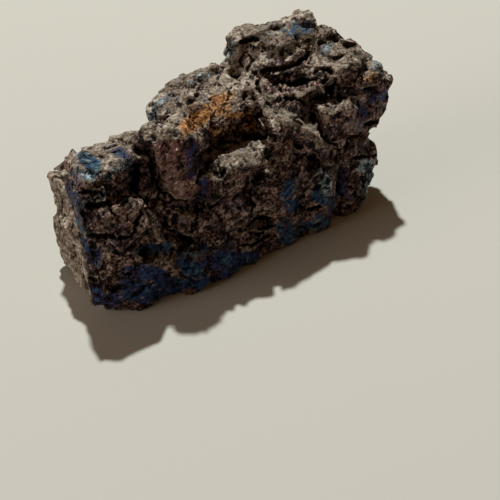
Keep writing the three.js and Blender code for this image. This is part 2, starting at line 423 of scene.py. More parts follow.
# %% [markdown]
# ## Room for the named forms
#
# A scattered fragment on top of a named stone or crack would hide it. So the distance to the nearest
# one is worked out at each point of the skin, and fragments keep away from it.

# %% Work out the room that is left
room = np.full(len(points), np.inf)
for width, _, _, start, end in STONES.values():
    room = np.minimum(room, from_path(spots, (start, end))[0] - width / 2)
for width, _, path in CRACKS.values():
    room = np.minimum(room, from_path(spots, path)[0] - width / 2)
room[seen < IN_VIEW] = np.inf
print("taken by named forms:", round(100 * float((room < 0).mean())), "% of the skin")

# %% [markdown]
# ## One chipped fragment
#
# Bornite has no good cleavage, so a fragment is a rough block with its corners knocked off. Each
# corner of a box becomes three points, one slid along each edge, and a convex hull is drawn round
# them. A hull is quick and always closed, which the remesher needs.

# %% Chip a block
CHIPPED = (0.05, 0.60)  # how far along an edge a corner is knocked off, as a share of half the edge
heap = bmesh.new()
stone_mesh = bpy.data.meshes.new("stone")
chance = np.random.default_rng(4)


def add_stone(top, along, out, half, tilt):
    """Adds one chipped block to the heap, with its top at a place and facing `out`."""
    across = out.cross(along).normalized()
    stand = Matrix((across.cross(out), across, out)).transposed()
    lean = Euler(np.radians(chance.uniform(-tilt, tilt, 3))).to_matrix()
    stone = bmesh.new()
    for sign in product((-1, 1), repeat=3):
        for axis in range(3):
            corner = np.array(sign) * half
            corner[axis] *= 1 - chance.uniform(*CHIPPED)
            stone.verts.new(top - out * half[2] + stand @ lean @ Vector(corner))
    hull = bmesh.ops.convex_hull(stone, input=stone.verts)
    bmesh.ops.delete(stone, geom=hull["geom_interior"], context="VERTS")
    stone.to_mesh(stone_mesh)
    stone.free()
    heap.from_mesh(stone_mesh)


# %% [markdown]
# ## Fragments all over
#
# Two sizes of fragment are set on the skin, most of them lying along the lump's length as the ore's
# layers do. They keep a distance from each other, and the gaps become the small dark cracks.

# %% Scatter the fragments
FRAGMENTS = {  # mm, and degrees; "clear" is the room that a fragment's middle needs
    "blocks": {"size": 7.5, "spacing": 4.6, "proud": (-0.1, 0.9), "tilt": 12, "clear": 1.8},
    "chips": {"size": 4.4, "spacing": 3.2, "proud": (-0.8, 0.1), "tilt": 14, "clear": 1.1},
}
LAYERS_LIE = Vector((0.92, 0.25, 0.30))
STRAY = 0.4  # how far a fragment strays from the layers' direction
SHAPE = ((0.75, 0.45, 0.5), (1.3, 0.85, 0.7))  # least and most of a fragment's sides, of its size
SHORT_BEYOND, SHORT = -31, 0.5  # mm, beyond which fragments are this short, to stay inside the left end
TOO_CLEAN = 0.4  # no fragment lies where more of the skin than this broke clean
TRIES = 14000  # places that are tried for each size


def spread_out(places, spacing):
    """Rows of places in random order, without those too near to one taken before."""
    kept, rows = np.empty((0, 3)), []
    for row in chance.permutation(len(places))[:TRIES]:
        if not len(kept) or ((kept - places[row]) ** 2).sum(axis=1).min() > spacing ** 2:
            kept = np.vstack((kept, places[row]))
            rows.append(row)
    return rows


points, out = corners(lump), outward(lump, BROAD)
for name, kind in FRAGMENTS.items():
    free = (clean < TOO_CLEAN) & (room > kind["clear"])
    rows = [row for row in spread_out(points, kind["spacing"]) if free[row]]
    for row in rows:
        facing = Vector(out[row])
        half = kind["size"] / 2 * chance.uniform(*SHAPE)
        if points[row][0] < SHORT_BEYOND:
            half[0] *= SHORT
        top = Vector(points[row]) + facing * (INSET + chance.uniform(*kind["proud"]))
        add_stone(top, LAYERS_LIE + Vector(chance.normal(0, STRAY, 3)), facing, half, kind["tilt"])
    print(name, len(rows))

# %% [markdown]
# ## The named stones
#
# The named ledges and knobs are stones of the same make, each laid between its two places in the
# picture. A ray from the camera finds where each end meets the skin. Most of them lie more level
# than the skin under them, as the ore's own layers do, which is what makes a ledge.

# %% Lay the named stones
LEVEL = (0, 0, 1)  # added to the way the skin faces, so that a stone lies more level
SLANTED = ("brown block", "block's toe", "upper brown lump", "lower brown lump", "stack", "far knob")
LIES = {**dict.fromkeys(SLANTED, (0, 0, 0)), "beside the groove": (0, -3, 0)}  # in place of LEVEL
NAMED_TILT = 4  # degrees

whole = bmesh.new()
whole.from_mesh(lump)
skin = BVHTree.FromBMesh(whole)
whole.free()


def on_skin(spot):
    """Where the sight line through a place in the picture meets the skin, and which way that faces. A
    place just above the outline is taken lower down."""
    face, lower = None, 0
    while face is None:
        aside, up = (spot[0] - PICTURE / 2) / SPREAD, (PICTURE / 2 - spot[1] - lower) / SPREAD
        sight = camera.matrix_basis.to_3x3() @ Vector((aside, up, -1))
        at, _, face, _ = skin.ray_cast(CAMERA_AT / MM, sight)
        lower += 1
    return at, Vector(out[lump.polygons[face].vertices[0]])


for name, (width, thickness, proud, start, end) in STONES.items():
    (near, near_out), (far, far_out) = on_skin(start), on_skin(end)
    facing = (near_out + far_out + Vector(LIES.get(name, LEVEL))).normalized()
    half = np.array(((far - near).length, width, thickness)) / 2
    add_stone((near + far) / 2 + facing * (INSET / 2 + proud), far - near, facing, half, NAMED_TILT)
print("corners of all the stones:", len(heap.verts))

# %% [markdown]
# ## One lump again
#
# The heap and the skin under it are closed shells that run through each other. The voxel remesher
# makes one skin of them. Nothing may stand out much beyond the solid, so stray corners are cut back.

# %% Join the fragments to the lump
FINE_GRID = 0.41  # mm, which keeps the finished lump under 200,000 triangles
PROUD_FREE, PROUD_KEPT = 0.45, 0.28  # mm that skin may stand proud, and how much of the rest is kept
BUILT_UP = [  # mm more that it may stand proud there, half width in mm, and the path in the picture
    (2.6, 3.0, [(222, 68), (240, 54), (243, 70), (256, 68), (254, 52), (268, 50)]),
    (3.6, 2.8, [(144, 150), (146, 194)]),
    (0.8, 2.0, [(268, 24), (298, 18)]),
    (1.4, 2.2, [(266, 47), (291, 37), (326, 34)]),
    (1.2, 2.0, [(323, 52), (342, 55)]),
    (1.3, 2.0, [(216, 166), (262, 160)]),
    (1.8, 2.0, [(331, 153), (346, 159)]),
]
BUILT_CORE = 0.7  # the share of the half width that is built up in full
BEYOND = 0.4  # mm that the ore may stand out beyond the solid's box


def held_back(place, free):
    """The place, moved back towards the solid if it stands more than `free` mm proud of it."""
    near, face_out, _, _ = solid_tree.find_nearest(Vector(place))
    away = Vector(place) - near
    if away.dot(face_out) < 0 or away.length < free:
        return place
    return near + away * (PROUD_KEPT + (1 - PROUD_KEPT) * free / away.length)


heap.from_mesh(lump)
packed = bpy.data.meshes.new("packed lump")
heap.to_mesh(packed)
heap.free()
lump = evened(packed, FINE_GRID)
lowest, highest = np.array(solid_low) / MM - BEYOND, np.array(solid_high) / MM + BEYOND
lowest[2] = 0
points = corners(lump)
spots, seen = in_picture(points), faces_camera(points, outward(lump, CLOSE))
raised = sum(proud * seen * on_path(spots, path, width, BUILT_CORE) for proud, width, path in BUILT_UP)
inside = np.clip([held_back(*pair) for pair in zip(points, PROUD_FREE + raised)], lowest, highest)
move_to(lump, inside)
print("packed skin:", len(lump.vertices), "points")

# %% [markdown]
# ## Cracks and hollows
#
# The gaps that show by name are cut once the stones are joined, so that no stone closes them. A crack
# follows the grains, and a grain falls out almost as a whole: each point is tested at a place
# between itself and the centre of its grain.

# %% Cut the cracks
SLIMMER, SHALLOWER = 0.85, 0.65  # how much of a crack's half width and depth is cut
CORE, TAPER = 0.3, 0.6  # the share of it that is at full depth, and how much narrower its ends are
MISSING = {"size": 0.8, "whole": 0.45, "seed": 6}  # mm, and how much a grain falls out as a whole
WOBBLE = {"size": 2.2, "strays": 0.4, "seed": 70}  # mm

points, out = corners(lump), outward(lump, CLOSE)
centres = grain_centres(points, MISSING["size"], MISSING["seed"])
together = points + MISSING["whole"] * (centres - points)
spots = in_picture(together)
for axis in range(2):
    wobble = smooth_noise(together, WOBBLE["size"], WOBBLE["seed"] + axis)
    spots[:, axis] += WOBBLE["strays"] / PIXEL * wobble
seen = faces_camera(points, out)
rise, painted_crack_shade = np.zeros(len(points)), np.zeros(len(points))
for width, depth, path in CRACKS.values():
    inside = seen * on_path(spots, path, SLIMMER * width, CORE, TAPER)
    rise = np.minimum(rise, -SHALLOWER * depth * inside)
    # The crack's footprint is kept, so that painted shade can be laid in it later.
    painted_crack_shade = np.maximum(painted_crack_shade, inside)
carve(lump, rise, CLOSE)
print("cracks:", len(CRACKS), "down to", round(-float(rise.min()), 1), "mm")

# %% [markdown]
# ## Grains
#
# The finest forms that this mesh can hold are grains of about a millimetre. Anything finer is left
# to the finish. The left end has streaks that run down it instead, as a broken vein wall has.

# %% Carve the grains and the streaks
GRAINS = ((3.4, 0.42, 5), (1.1, 0.10, 8))  # size and rise in mm, and seed
SMOOTHER = 0.8  # how much of the grain a clean break loses
FACET_STRAY = 0.06  # mm, how far single points stray, which turns every small facet its own way
STREAK_SIZE, STREAK_RISE = (1.6, 0.8, 7.0), 0.45  # mm
STREAK_WAVES = ((0.7, 1, 7), (0.5, 0.45, 8))  # height, size against the streak's, and seed
STREAK_SLIP = {"size": 2, "most": 6, "seed": 9}  # mm, how far streaks slip up and down past each other

points, out = corners(lump), outward(lump, CLOSE)
spots = in_picture(points)
seen = faces_camera(points, out)
left_end = end_share(points, outward(lump, BROAD), spots, seen)
clean = with_breaks(left_end, spots, seen)
slip = smooth_noise(points, STREAK_SLIP["size"], STREAK_SLIP["seed"])
slid = points + np.outer(slip, (0, 0, STREAK_SLIP["most"]))
streaks = sum(high * smooth_noise(slid / STREAK_SIZE, size, seed) for high, size, seed in STREAK_WAVES)
rise = STREAK_RISE * left_end * streaks
for size, most, seed in GRAINS:
    rise += most * tipped_cells(points, size, seed) * (1 - SMOOTHER * clean)
rise += FACET_STRAY * chance.uniform(-1, 1, len(points)) * (1 - SMOOTHER * clean)
carve(lump, rise, rounds=3)
print("grains move the skin", rise.min().round(2), "to", rise.max().round(2), "mm")

# %% [markdown]
# ## Setting the lump down
#
# The foot is pressed flat where it rests, and the lump goes back to metres. Each small square keeps
# its own flat facet, because broken ore is made of grains that glint one by one.

# %% Keep the foot flat and hand the lump over as a piece
points = corners(lump)
points[:, 2] = np.maximum(points[:, 2], 0)
move_to(lump, points)
body = bmesh.new()
body.from_mesh(lump)
bmesh.ops.scale(body, vec=(MM, MM, MM), verts=body.verts)
for face in body.faces:
    face.smooth = False
finished = bpy.data.meshes.new("peacock_ore")
body.to_mesh(finished)
body.free()
ore = in_scene("peacock_ore", finished)
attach(ore, "root")
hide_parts("ore_lump")
print("peacock_ore:", sum(len(face.vertices) - 2 for face in finished.polygons), "triangles")

# %% [markdown]
# ## Where the oxide film lies
#
# A painter would mask the lump by hand, and so do the next cells. Every finish is one number at each
# point of the skin, kept as an attribute that the material reads. The oxide film has two: how much
# of it there is, and its thickness, which alone decides whether it looks violet, blue or teal.

# %% Draw the film
FILM = {  # amount, thickness, half width in mm, and the path in the picture
    "left shelf teal": (0.66, 0.74, 1.9, [(84, 158), (94, 164), (92, 174)]),
    "shelf's rim": (0.75, 0.97, 0.8, [(70, 174), (82, 172), (93, 176)]),
    "shelf corner blue": (0.85, 0.54, 1.5, [(118, 154), (130, 160)]),
    "corner's rim": (0.80, 0.97, 0.8, [(105, 178), (112, 173), (128, 164)]),
    "second shelf's rim": (0.85, 0.95, 0.8, [(82, 200), (98, 199), (107, 194)]),
    "left front edge": (0.50, 0.60, 1.5, [(69, 186), (78, 208), (84, 226), (87, 246)]),
    "left groove": (0.90, 0.62, 1.4, [(133, 165), (134, 188)]),
    "low left": (1.00, 0.56, 1.6, [(90, 250), (96, 258)]),
    "under the tan facet": (0.62, 0.64, 1.6, [(152, 250), (167, 248)]),
    "blue pit": (0.85, 0.66, 1.2, [(138, 253), (146, 250)]),
    "low middle": (1.10, 0.62, 2.6, [(184, 262), (194, 276), (204, 282)]),
    "low middle edge": (0.75, 0.56, 1.5, [(186, 250), (210, 252)]),
    "low right": (1.10, 0.60, 2.2, [(222, 258), (240, 262), (252, 258)]),
    "bottom band": (1.20, 0.54, 2.4, [(130, 292), (150, 294), (172, 290)]),
    "bottom band's start": (1.00, 0.54, 1.4, [(92, 288), (98, 294)]),
    "above the band": (1.00, 0.50, 1.6, [(146, 272), (160, 276), (172, 282)]),
    "bottom rim": (1.10, 0.58, 1.2, [(176, 284), (210, 282), (240, 272)]),
    "teal patch": (0.85, 0.92, 1.9, [(324, 172), (325, 190)]),
    "below the teal": (0.80, 0.64, 1.5, [(316, 196), (332, 200)]),
    "blue streak": (0.75, 0.62, 1.2, [(290, 180), (287, 196), (296, 206)]),
    "low blue": (1.10, 0.62, 1.7, [(284, 224), (286, 240), (294, 236)]),
    "bottom right": (0.70, 0.66, 1.4, [(300, 228), (330, 222)]),
    "far right violet": (0.65, 0.46, 1.3, [(374, 96), (385, 95)]),
    "far right blue": (0.42, 0.56, 1.4, [(360, 106), (366, 116)]),
    "far top": (0.95, 0.98, 1.5, [(375, 56), (378, 68)]),
    "peak": (0.66, 0.60, 2.0, [(292, 32), (308, 29)]),
    "peak's left": (0.60, 0.80, 1.3, [(276, 22), (282, 28)]),
    # painted highlight: this patch paints the whitish glint on the top as the thickest, palest film
    "light spot": (0.95, 1.00, 1.2, [(326, 50), (331, 45)]),
    "rim": (0.55, 0.92, 1.4, [(152, 122), (156, 106), (166, 97)]),
    "upper rim": (0.55, 0.92, 1.0, [(190, 82), (214, 74)]),
    "crest's rim": (0.75, 0.95, 1.1, [(227, 54), (236, 42)]),
    "right foot": (0.65, 0.92, 2.2, [(366, 164), (367, 186)]),
    "glossy block's side": (0.80, 0.26, 2.0, [(190, 146), (196, 160), (192, 176)]),
    "three-cornered lump": (0.55, 0.36, 1.5, [(206, 180), (200, 196)]),
    "low front purple": (0.55, 0.40, 2.0, [(206, 264), (226, 248)]),
}
print("patches of film:", len(FILM))

# %% [markdown]
# ## Where rust, gloss and dust lie
#
# Rust stains the hollow behind the glossy block. The pale layer is partly rock dust and partly painted
# light: it lies on ledges, on edges that stand out, and on tops and slopes that are made to look lit,
# some of them where the lamp leaves the skin dim. It also lies on skin that faces up, so a last table
# says where the ore stays bare, which under the ledges and on fronts turned from the lamp is painted
# shade.

# %% Draw the rust, the gloss, the dust and the painted light
RUST = {  # amount, half width in mm, and the path in the picture
    "core": (1.15, 2.2, [(187, 126), (196, 120), (206, 114)]),
    "hump": (0.60, 1.5, [(214, 98), (229, 95)]),
    "between": (0.55, 3.0, [(196, 114), (224, 106)]),
    "right arm": (0.50, 1.7, [(230, 115), (248, 118), (252, 130)]),
    "red hollow": (0.45, 1.6, [(212, 132), (236, 130)]),
    "knob": (0.45, 1.2, [(366, 78), (374, 77)]),
}
GLOSS = {  # the same
    "glossy block": (1.0, 4.8, [(170, 156), (182, 184)]),
}
# Pale patches: partly rock dust, partly painted light that makes tops and slopes look lit. Below the
# crest, on the peak and on the slab it lightens skin that the lamp leaves dim.
PALE_DUST_AND_LIGHT = {  # the same
    "peak": (1.00, 1.8, [(284, 26), (302, 17), (314, 16)]),
    "crest": (0.90, 2.2, [(240, 38), (256, 32), (276, 28)]),
    "light step": (0.75, 1.4, [(302, 46), (314, 38), (326, 33)]),
    "below the crest": (1.10, 3.4, [(242, 60), (262, 50), (290, 40), (314, 36)]),
    "back slope": (0.70, 3.4, [(222, 82), (240, 72), (252, 62)]),
    "pale ledge": (0.42, 3.0, [(218, 164), (240, 162), (256, 158)]),
    "glossy block's edge": (0.75, 0.7, [(152, 138), (175, 136), (200, 138)]),
    "tan facet": (0.36, 1.8, [(150, 216), (158, 238)]),
    "slab": (1.00, 1.8, [(276, 114), (304, 127), (330, 148)]),
    "round lump": (0.28, 2.2, [(330, 108), (352, 114)]),
    "high ledge": (0.50, 0.9, [(260, 66), (282, 60), (300, 50)]),
    "middle ledge": (0.50, 0.9, [(272, 76), (306, 70), (326, 60)]),
    "low ledge": (0.50, 0.9, [(298, 94), (318, 90), (328, 84)]),
    "brow": (0.50, 1.2, [(334, 76), (352, 64), (362, 64)]),
}
# Where the ore stays bare. Under the ledges, in front of the brow and the round lump and on the brown
# block the bare dark ore is painted shade, standing in for the shade that falls there.
BARE_AS_PAINTED_SHADE = {  # half width in mm, and the path in the picture
    "far right face": (2.4, [(380, 88), (384, 116)]),
    "left shelf teal": (1.6, [(84, 158), (94, 164), (92, 174)]),
    "brown block": (2.6, [(88, 212), (112, 204), (132, 204)]),
    "tan facet": (2.0, [(150, 208), (158, 236)]),
    "front of the brow": (2.6, [(334, 92), (358, 88)]),
    "under the high ledge": (1.6, [(262, 72), (290, 68), (308, 58)]),
    "under the middle ledge": (1.8, [(270, 86), (300, 84), (328, 78)]),
    "under the low ledge": (1.4, [(280, 100), (300, 104), (326, 100)]),
    "round lump's front": (1.8, [(326, 130), (352, 132)]),
}
print("patches of rust:", len(RUST), "and of dust:", len(PALE_DUST_AND_LIGHT))

# %% [markdown]
# ## Patches with ragged edges
#
# A film or a stain ends where the grains do, never along a smooth line. So noise of two sizes shifts
# each point's place in the picture before the patches are laid on it.

# %% Lay the patches on the skin
FRAY = ((2.4, 1.2, 80), (0.8, 0.6, 86))  # size, how far a patch's edge strays in mm, and seed
PATCH_CORE = 0.4  # the share of a patch's half width where it is full
UNSEEN = {"film": (9, 82), "thickness": (7, 84), "rust": (8, 83)}  # noise out of view: mm and seed
UNSEEN_THICKNESS = (0.6, 0.5)  # the film's usual thickness out of view, and how far it strays

spots = in_picture(points)
seen = faces_camera(points, outward(lump, rounds=4))
frayed = spots.copy()
for (size, strays, seed), axis in product(FRAY, range(2)):
    frayed[:, axis] += strays / PIXEL * smooth_noise(points, size, seed + axis)


def painted(most, width, path):
    """How much one patch puts on each point, with a ragged edge."""
    return most * seen * on_path(frayed, path, width, PATCH_CORE)


unseen = {name: smooth_noise(points, size, seed) * (1 - seen) for name, (size, seed) in UNSEEN.items()}
amount = {name: np.zeros(len(points)) for name in ("film", "rust", "gloss", "pale")}
thickness = UNSEEN_THICKNESS[0] + UNSEEN_THICKNESS[1] * unseen["thickness"]
for most, thick, width, path in FILM.values():
    patch = painted(most, width, path)
    thickness = np.where(patch > amount["film"], thick, thickness)
    amount["film"] = np.maximum(amount["film"], patch)
for name, patches in (("rust", RUST), ("gloss", GLOSS), ("pale", PALE_DUST_AND_LIGHT)):
    for most, width, path in patches.values():
        amount[name] = np.maximum(amount[name], painted(most, width, path))
print("patches laid:", len(FILM) + len(RUST) + len(GLOSS) + len(PALE_DUST_AND_LIGHT))

# %% [markdown]
# ## Between the patches
#
# Air reaches the whole lump, so a thin breath of film lies nearly everywhere, and less of it high up.
# Out of the camera's view, noise alone says where film and rust lie. The left end, which broke clean
# right across, is pale all over and has hardly any film. Its pale is partly its own colour and partly
# painted light on a face that the light catches.

# %% Add what lies between the patches
UNSEEN_FILM = {"most": 0.7, "noise": (0.0, 0.25), "thins over": 70}  # the last is mm of height
UNSEEN_RUST = {"most": 0.55, "noise": (0.35, 0.55)}
HARDLY_SEEN = 0.9  # the film out of view also reaches skin that is seen less well than this
BREATH = {"most": 0.55, "size": 5.5, "seed": 85, "noise": (-0.05, 0.35), "top": 11, "high up": 0.4}  # mm
BREATH_THICKNESS = {"usual": 0.34, "strays": 0.5, "size": 7, "seed": 87}
END_BARE = 0.9  # how much of the film the left end lacks
END_PALE = (1.1, 1.2)  # how pale the left end is, and how far its streaks change that
DUST_AND_TOP_LIGHT = {"most": 0.85, "faces up": (0.42, 0.85), "off gloss": 0.7}

hidden = ramp(unseen["film"] - points[:, 2] / UNSEEN_FILM["thins over"], *UNSEEN_FILM["noise"])
amount["film"] = np.maximum(amount["film"], UNSEEN_FILM["most"] * hidden * (seen < HARDLY_SEEN))
breath = BREATH["most"] * ramp(smooth_noise(points, BREATH["size"], BREATH["seed"]), *BREATH["noise"])
breath *= np.where(points[:, 2] > BREATH["top"], BREATH["high up"], 1)
thin = smooth_noise(points, BREATH_THICKNESS["size"], BREATH_THICKNESS["seed"])
thin = BREATH_THICKNESS["usual"] + BREATH_THICKNESS["strays"] * thin
thickness = np.where(breath > amount["film"], thin, thickness)
amount["film"] = np.maximum(amount["film"], breath) * (1 - END_BARE * left_end)
amount["thickness"] = softened(lump, thickness, rounds=3)[:, 0]
hidden = UNSEEN_RUST["most"] * ramp(unseen["rust"], *UNSEEN_RUST["noise"])
amount["rust"] = np.maximum(amount["rust"], hidden)
# Dust and painted light: skin that faces up is made paler, both as dust lies there and as light on the
# tops that the high lamp lights.
dust = DUST_AND_TOP_LIGHT["most"] * ramp(outward(lump, rounds=12)[:, 2], *DUST_AND_TOP_LIGHT["faces up"])
dust *= 1 - DUST_AND_TOP_LIGHT["off gloss"] * amount["gloss"]
# Painted shade: the dust is taken off under the ledges and on fronts turned from the lamp.
for width, path in BARE_AS_PAINTED_SHADE.values():
    dust *= 1 - painted(1, width, path)
# The left end's pale is partly the clean break's own colour and partly painted light.
end_dust = left_end * (END_PALE[0] + END_PALE[1] * streaks)
amount["pale"] = np.maximum.reduce((amount["pale"], dust, end_dust))
print("film up to", amount["film"].max().round(2), "and dust up to", amount["pale"].max().round(2))

# %% [markdown]
# ## Hollows and edges
#
# Hollows and cracks get painted shade, a near-black layer that stands in for the shadow in them, and
# edges that stand out are painted paler, partly as rubbed wear and partly as a painted highlight. The
# skin is compared with a softened copy of itself: a point below the copy is in a hollow, and a point
# above it is on an edge.

# %% Find the hollows and edges, and store every finish
PAINTED_SHADE_HOLLOWS = ((3, 0.03, 0.16), (14, 0.12, 0.60))  # rounds, and depths in mm where dark begins and is full
RUBBED_AND_LIT_EDGES = (4, 0.05, 0.22)  # the same for edges that stand out
MOST = 1.2  # the most of a finish that a point can hold
COVERED = 0.3  # a finish covers the points that hold more of it than this


def depth_below(rounds):
    """How deep each point lies below the skin that some rounds of averaging give, mm."""
    return ((softened(lump, points, rounds) - points) * outward(lump, rounds=2)).sum(axis=1)


# Painted shade: points deep in a hollow, or inside a named crack, get the dark hollow layer, which
# stands in for the shadow there.
deep = sum(ramp(depth_below(rounds), low, high) for rounds, low, high in PAINTED_SHADE_HOLLOWS)
amount["hollow"] = np.maximum(painted_crack_shade, deep)
# Edges that stand out get a paler layer: partly rubbed wear, partly a painted highlight on lips that the
# lamp catches.
amount["edge"] = ramp(-depth_below(RUBBED_AND_LIT_EDGES[0]), *RUBBED_AND_LIT_EDGES[1:])
for name, values in amount.items():
    attribute = ore.data.attributes.new(name, "FLOAT", "POINT")
    attribute.data.foreach_set("value", np.clip(values, 0, MOST))
    print(name, "covers", round(100 * float((values > COVERED).mean())), "% of the skin")

# %% [markdown]
# ## Tools for the finishes
#
# Colours are written as the sRGB hex values that a colour picker shows, and a shader wants them
# linear. One helper adds a node, sets it and links it, so that a finish reads from top to bottom.

# %% Colours and nodes
def linear(hex_colour):
    """An sRGB hex colour as the linear colour that the shader wants."""
    shares = [int(hex_colour[place:place + 2], 16) / 255 for place in (1, 3, 5)]
    return (*[s / 12.92 if s <= 0.04045 else ((s + 0.055) / 1.055) ** 2.4 for s in shares], 1)


def add(material, kind, settings=None, **inputs):
    """Adds a node. An input is a number, a colour or the node that feeds it, and _0 is the first one.
    The setting called stops gives a ramp its colours."""
    made = material.node_tree.nodes.new(kind)
    for name, value in (settings or {}).items():
        if name == "stops":
            for element in value[2:]:
                made.color_ramp.elements.new(0.5)
            for element, (position, colour) in zip(made.color_ramp.elements, value):
                element.position = position
                element.color = linear(colour)
        else:
            setattr(made, name, value)
    for name, value in inputs.items():
        socket = made.inputs[int(name[1:])] if name[0] == "_" else made.inputs[name.replace("_", " ")]
        if isinstance(value, bpy.types.Node):
            value = next(output for output in value.outputs if output.enabled)
        if isinstance(value, bpy.types.NodeSocket):
            material.node_tree.links.new(value, socket)
        else:
            socket.default_value = value
    return made


def blank(name):
    """A new material with nothing in it."""
    made = bpy.data.materials.new(name)
    made.use_nodes = True
    made.node_tree.nodes.clear()
    return made


# %% [markdown]
# ## Broken bornite: the bare ore
#
# The finish is layered as the real one is. The bare ore comes first: bronze-brown, and mottled and
# grainy because each grain of sulphide broke on its own. Three noises of real sizes make that, with
# crystal cells that give each grain a tone and a gloss of its own. Together they are called the tone.

# %% Start the ore's finish
NOISES = {"mottle": (5.0, 2), "grain": (1.3, 4), "speck": (0.45, 2)}  # size in mm and detail
NOISE_ROUGHNESS = 0.6
CRYSTAL = 0.9  # mm
CRYSTAL_TONES = (0.40, 0.60)  # the darkest and the lightest that a crystal gets
GRAIN, SPECK, FINE = 0.60, 0.50, 0.60  # shares, and the rest is mottle, crystal and broad noise
BRONZE = [(0.44, "#05070c"), (0.48, "#302122"), (0.52, "#69504a"), (0.565, "#b0988b")]

bornite = blank("broken bornite, tarnished")
place = add(bornite, "ShaderNodeTexCoord").outputs["Object"]
in_mm = add(bornite, "ShaderNodeMapping", Vector=place, Scale=(1 / MM,) * 3)
noises = {}
for seed, (name, (size, detail)) in enumerate(NOISES.items()):
    noises[name] = add(bornite, "ShaderNodeTexNoise", {"noise_dimensions": "4D"}, Vector=in_mm,
                       Scale=1 / size, Detail=detail, Roughness=NOISE_ROUGHNESS, W=seed)
bent = add(bornite, "ShaderNodeVectorMath", {"operation": "MULTIPLY_ADD"},
           _0=noises["grain"].outputs["Color"], _1=(CRYSTAL,) * 3, _2=in_mm)
crystals = add(bornite, "ShaderNodeTexVoronoi", Vector=bent, Scale=1 / CRYSTAL)
toss = add(bornite, "ShaderNodeSeparateXYZ", Vector=crystals.outputs["Color"])
lit = add(bornite, "ShaderNodeMapRange", Value=toss, To_Min=CRYSTAL_TONES[0], To_Max=CRYSTAL_TONES[1])
broad = add(bornite, "ShaderNodeMix", _0=GRAIN, _2=noises["mottle"], _3=noises["grain"])
fine = add(bornite, "ShaderNodeMix", _0=SPECK, _2=lit, _3=noises["speck"])
tone = add(bornite, "ShaderNodeMix", _0=FINE, _2=broad, _3=fine)
colour = add(bornite, "ShaderNodeValToRGB", {"stops": BRONZE}, Fac=tone)
print("noises:", ", ".join(noises))

# %% [markdown]
# ## Broken bornite: the colours of what lies on it
#
# Massive bornite is red-brown, pores are nearly black, and rust is orange. Hollows are near-black as
# painted shade. Dust and rubbed edges are greyish buff, and that buff is also painted light on tops,
# slopes and lips that face the lamp. Glints are painted highlights. The film's colour follows its
# thickness, from violet through blue to teal and silver.

# %% Choose the layers' colours
LAYERS = {  # the value that shades it, how strongly the grain breaks it up, and its colours
    "gloss": ("tone", 0.4, [(0.42, "#2a1a17"), (0.50, "#6a493f"), (0.58, "#ab8e84")]),
    "pore": ("tone", 0.0, [(0.42, "#030408"), (0.58, "#0e0b0c")]),
    # pale: dust, and painted light on lit tops, slopes and the left end
    "pale": ("tone", 0.5, [(0.41, "#3c342d"), (0.47, "#6e6156"), (0.53, "#a8998a"), (0.59, "#e2d9ce")]),
    "film": ("thickness", 1.6, [(0.20, "#1e141e"), (0.38, "#29274e"), (0.52, "#183060"),
                                (0.66, "#1a4260"), (0.82, "#26454c"), (1.0, "#7e8a90")]),
    "rust": ("tone", 0.5, [(0.42, "#26140a"), (0.47, "#7c4a24"), (0.53, "#c08b58"), (0.59, "#ecd0ac")]),
    # edge: partly rubbed wear, partly a painted highlight on lit lips
    "edge": ("tone", 0.6, [(0.42, "#1d1814"), (0.50, "#766659"), (0.58, "#b9a896")]),
    # glint: painted highlights, light specks painted into the colour
    "glint": ("tone", 0.0, [(0.42, "#a79c98"), (0.58, "#efe9ea")]),
    # hollow: painted shade, near-black paint standing in for the shadow in cracks and hollows
    "hollow": ("tone", 0.2, [(0.42, "#03040a"), (0.58, "#141012")]),
}
HIDES = {"film": 0.88, "edge": 0.45, "pore": 0.85, "hollow": 0.9}  # how well these cover; 1 otherwise
print("layers:", ", ".join(LAYERS))

# %% [markdown]
# ## Broken bornite: pores, painted glints and the film's thickness
#
# Some things are too fine for the skin's points, so they come from the noises and the crystals. A
# pore is a place of dark tone. A glint is a painted highlight: a light speck painted in the middle of
# a crystal, as if it faced the light, on massive bornite alone. The film is a little thicker on one
# grain than on the next.

# %% Make the pores, the painted glints and the film's thickness
PORES = {"From_Min": 0.475, "From_Max": 0.45}  # the tone at which a pore begins and is full
PAINTED_GLINTS = {"turned away": 0.55, "wide": 0.13}  # share of crystals without a glint, and a glint's width
FILM_STRAYS = {"From_Min": 0.3, "From_Max": 0.7, "To_Min": -0.25, "To_Max": 0.25}
FILM_LIGHT = {"From_Min": 0.43, "From_Max": 0.57, "To_Min": 0.3, "To_Max": 2.1}  # dark and light tones

pore = add(bornite, "ShaderNodeMapRange", Value=tone, **PORES)
turned = add(bornite, "ShaderNodeMath", {"operation": "GREATER_THAN"}, _0=toss, _1=PAINTED_GLINTS["turned away"])
middle = add(bornite, "ShaderNodeMath", {"operation": "LESS_THAN"},
             _0=crystals.outputs["Distance"], _1=PAINTED_GLINTS["wide"])
glint = add(bornite, "ShaderNodeMath", {"operation": "MULTIPLY"}, _0=turned, _1=middle)
massive = add(bornite, "ShaderNodeAttribute", {"attribute_name": "gloss"}).outputs["Fac"]
glint = add(bornite, "ShaderNodeMath", {"operation": "MULTIPLY"}, _0=glint, _1=massive)
film_thickness = add(bornite, "ShaderNodeAttribute", {"attribute_name": "thickness"}).outputs["Fac"]
stray = add(bornite, "ShaderNodeMapRange", Value=noises["grain"], **FILM_STRAYS)
uneven_film = add(bornite, "ShaderNodeMath", {"operation": "ADD"}, _0=film_thickness, _1=stray)
film_light = add(bornite, "ShaderNodeMapRange", Value=tone, **FILM_LIGHT)
print("a glint is up to", round(2 * PAINTED_GLINTS["wide"] * CRYSTAL, 2), "mm wide")

# %% [markdown]
# ## Broken bornite: what lies on it
#
# Each layer has a value that says how much of it there is. The tone changes that amount before it is
# cut off, so that a thin place breaks up into specks instead of fading.

